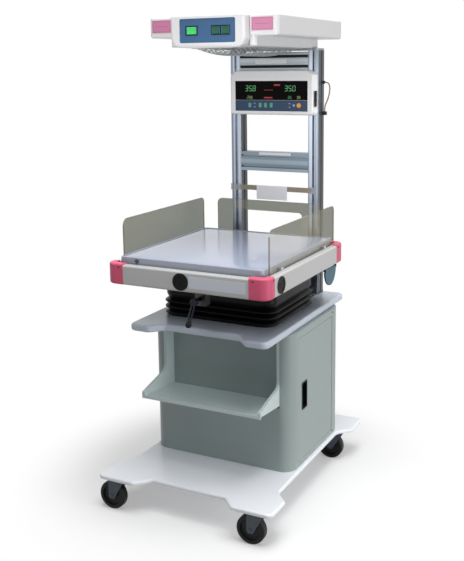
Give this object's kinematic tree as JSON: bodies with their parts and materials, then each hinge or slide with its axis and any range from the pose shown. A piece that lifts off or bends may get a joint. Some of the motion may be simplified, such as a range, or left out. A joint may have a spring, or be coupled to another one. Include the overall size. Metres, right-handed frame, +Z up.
{
  "type": "infant incubator",
  "caption": "Open infant incubator: tilting bed with folding clear panels and a radiant heater hood on posts, over a cabinet with casters",
  "frame": {"origin": "on the floor under the middle of the base plate's outline", "axes": "+Z up, -Y is the front with the tray and crank, +X to the right of someone who faces the front"},
  "size_m": [0.7, 0.9, 1.764],
  "materials": {
    "base_plastic": "satin moulded, pale lavender grey",
    "cabinet_paint": "light grey-green satin",
    "tray_paint": "light grey-green paint",
    "black_rubber": "black rubber with a soft sheen",
    "wheel_tyre": "black solid tyre",
    "fork_metal": "blue-grey paint",
    "white_plastic": "near white, satin",
    "pink_plastic": "rose pink moulded",
    "pink_label": "pink, blank",
    "black_plastic": "black moulded",
    "mattress_cover": "smooth pale lavender cover",
    "bright_steel": "polished",
    "steel": "brushed",
    "aluminium": "anodised, blue-grey",
    "smoked_acrylic": "smoked, clear",
    "brown_acrylic": "smoked brown",
    "clear_plastic": "pale clear",
    "blank_plate": "pale blank plate",
    "blue_panel": "blue",
    "green_rocker": "green, lit",
    "dark_rocker": "dark green",
    "key_plastic": "green",
    "orange_plastic": "orange",
    "reflector_metal": "bright reflector",
    "heater_rod": "dull sheath",
    "grille_metal": "grey guard",
    "teal_plastic": "teal",
    "lead_sheath": "brownish beige sheath",
    "gland_plastic": "dark"
  },
  "bodies": {
    "chassis": {"base_plate": "base_plastic", "tabletop": "base_plastic", "cabinet_shell": "cabinet_paint", "instrument_tray": "tray_paint", "bellows": "black_rubber", "hood_shell": "white_plastic", "hood_console": "white_plastic", "control_box": "white_plastic", "heater_pan": "white_plastic", "wing_labels": "pink_label", "display_window": "black_plastic", "door_pins": "bright_steel", "tilt_pedestal": "steel", "tilt_shaft": "steel", "post_feet": "steel", "hood_bracket": "steel", "post_left": "aluminium", "post_right": "aluminium", "top_beam": "aluminium", "middle_beam": "aluminium", "accessory_bar": "brown_acrylic", "accessory_clips": "clear_plastic", "beam_plates": "blank_plate", "hanging_plate": "blank_plate", "switch_panel": "blue_panel", "keypad": "blue_panel", "keypad_keys": "key_plastic", "reflector": "reflector_metal", "heater_elements": "heater_rod", "heater_grille": "grille_metal", "sensor_lead": "lead_sheath", "lead_glands": "gland_plastic"},
    "bed": {"bed_frame": "white_plastic", "corner_bumpers": "pink_plastic", "rail_socket_caps": "black_plastic", "rail_plate": "blank_plate", "bed_tray": "white_plastic", "mattress": "mattress_cover", "panel_hinges": "aluminium", "rear_panel_guides": "clear_plastic"},
    "crank": {"crank_arm": "bright_steel", "crank_knob": "black_plastic"},
    "door": {"side_door": "cabinet_paint", "door_pull": "black_plastic"},
    "panel_right": {"side_panel_right": "smoked_acrylic"},
    "panel_left": {"side_panel_left": "smoked_acrylic"},
    "rear_panel": {"rear_panel": "smoked_acrylic"},
    "release_lever": {"release_lever": "teal_plastic"},
    "rocker_power": {"rocker_power": "green_rocker"},
    "rocker_lamp": {"rocker_lamp": "dark_rocker"},
    "rocker_alarm": {"rocker_alarm": "dark_rocker"},
    "standby_button": {"standby_button": "orange_plastic"},
    "fork_front_left": {"caster_fork_front_left": "fork_metal"},
    "wheel_front_left": {"caster_wheel_front_left": "wheel_tyre"},
    "fork_front_right": {"caster_fork_front_right": "fork_metal"},
    "wheel_front_right": {"caster_wheel_front_right": "wheel_tyre"},
    "fork_rear_left": {"caster_fork_rear_left": "fork_metal"},
    "wheel_rear_left": {"caster_wheel_rear_left": "wheel_tyre"},
    "fork_rear_right": {"caster_fork_rear_right": "fork_metal"},
    "wheel_rear_right": {"caster_wheel_rear_right": "wheel_tyre"}
  },
  "joints": [
    {"name": "swivel_front_left", "type": "hinge", "parent": "chassis", "child": "fork_front_left", "pos_m": [-0.281, -0.424, 0.1], "axis": [0, 0, 1], "continuous": true},
    {"name": "roll_front_left", "type": "hinge", "parent": "fork_front_left", "child": "wheel_front_left", "pos_m": [-0.297, -0.424, 0.0525], "axis": [0, 1, 0], "continuous": true},
    {"name": "swivel_front_right", "type": "hinge", "parent": "chassis", "child": "fork_front_right", "pos_m": [0.281, -0.424, 0.1], "axis": [0, 0, 1], "continuous": true},
    {"name": "roll_front_right", "type": "hinge", "parent": "fork_front_right", "child": "wheel_front_right", "pos_m": [0.265, -0.424, 0.0525], "axis": [0, 1, 0], "continuous": true},
    {"name": "swivel_rear_left", "type": "hinge", "parent": "chassis", "child": "fork_rear_left", "pos_m": [-0.281, 0.31, 0.1], "axis": [0, 0, 1], "continuous": true},
    {"name": "roll_rear_left", "type": "hinge", "parent": "fork_rear_left", "child": "wheel_rear_left", "pos_m": [-0.297, 0.31, 0.0525], "axis": [0, 1, 0], "continuous": true},
    {"name": "swivel_rear_right", "type": "hinge", "parent": "chassis", "child": "fork_rear_right", "pos_m": [0.281, 0.31, 0.1], "axis": [0, 0, 1], "continuous": true},
    {"name": "roll_rear_right", "type": "hinge", "parent": "fork_rear_right", "child": "wheel_rear_right", "pos_m": [0.265, 0.31, 0.0525], "axis": [0, 1, 0], "continuous": true},
    {"name": "door_swing", "type": "hinge", "parent": "chassis", "child": "door", "pos_m": [0.284, 0.2425, 0.384], "axis": [0, 0, 1], "range_deg": [0, 90]},
    {"name": "bed_tilt", "type": "hinge", "parent": "chassis", "child": "bed", "pos_m": [0, -0.047, 0.76], "axis": [1, 0, 0], "range_deg": [-8, 8], "deforming": ["bellows"]},
    {"name": "crank_turn", "type": "hinge", "parent": "bed", "child": "crank", "pos_m": [0.05, -0.41, 0.812], "axis": [0, 1, 0], "range_deg": [-720, 720]},
    {"name": "panel_right_fold", "type": "hinge", "parent": "bed", "child": "panel_right", "pos_m": [0.291, 0, 0.913], "axis": [0, 1, 0], "range_deg": [0, 90]},
    {"name": "panel_left_fold", "type": "hinge", "parent": "bed", "child": "panel_left", "pos_m": [-0.291, 0, 0.913], "axis": [0, -1, 0], "range_deg": [0, 90]},
    {"name": "rear_panel_lift", "type": "slide", "parent": "bed", "child": "rear_panel", "axis": [0, 0, 1], "range_m": [0, 0.09]},
    {"name": "lever_release", "type": "hinge", "parent": "bed", "child": "release_lever", "pos_m": [0.307, 0.177, 0.829], "axis": [0, -1, 0], "range_deg": [0, 25]},
    {"name": "rocker_power_tilt", "type": "hinge", "parent": "chassis", "child": "rocker_power", "pos_m": [-0.0615, -0.1935, 1.7095], "axis": [1, 0, 0], "range_deg": [-8, 8]},
    {"name": "rocker_lamp_tilt", "type": "hinge", "parent": "chassis", "child": "rocker_lamp", "pos_m": [0.0335, -0.1935, 1.7095], "axis": [1, 0, 0], "range_deg": [-8, 8]},
    {"name": "rocker_alarm_tilt", "type": "hinge", "parent": "chassis", "child": "rocker_alarm", "pos_m": [0.0695, -0.1935, 1.7095], "axis": [1, 0, 0], "range_deg": [-8, 8]},
    {"name": "standby_push", "type": "slide", "parent": "chassis", "child": "standby_button", "axis": [0, 1, 0], "range_m": [0, 0.0015], "stiffness_N_per_m": 500, "springref_m": -0.001}
  ],
  "couplings": [
    {"joint": "crank_turn", "follows": "bed_tilt", "ratio": 90}
  ]
}
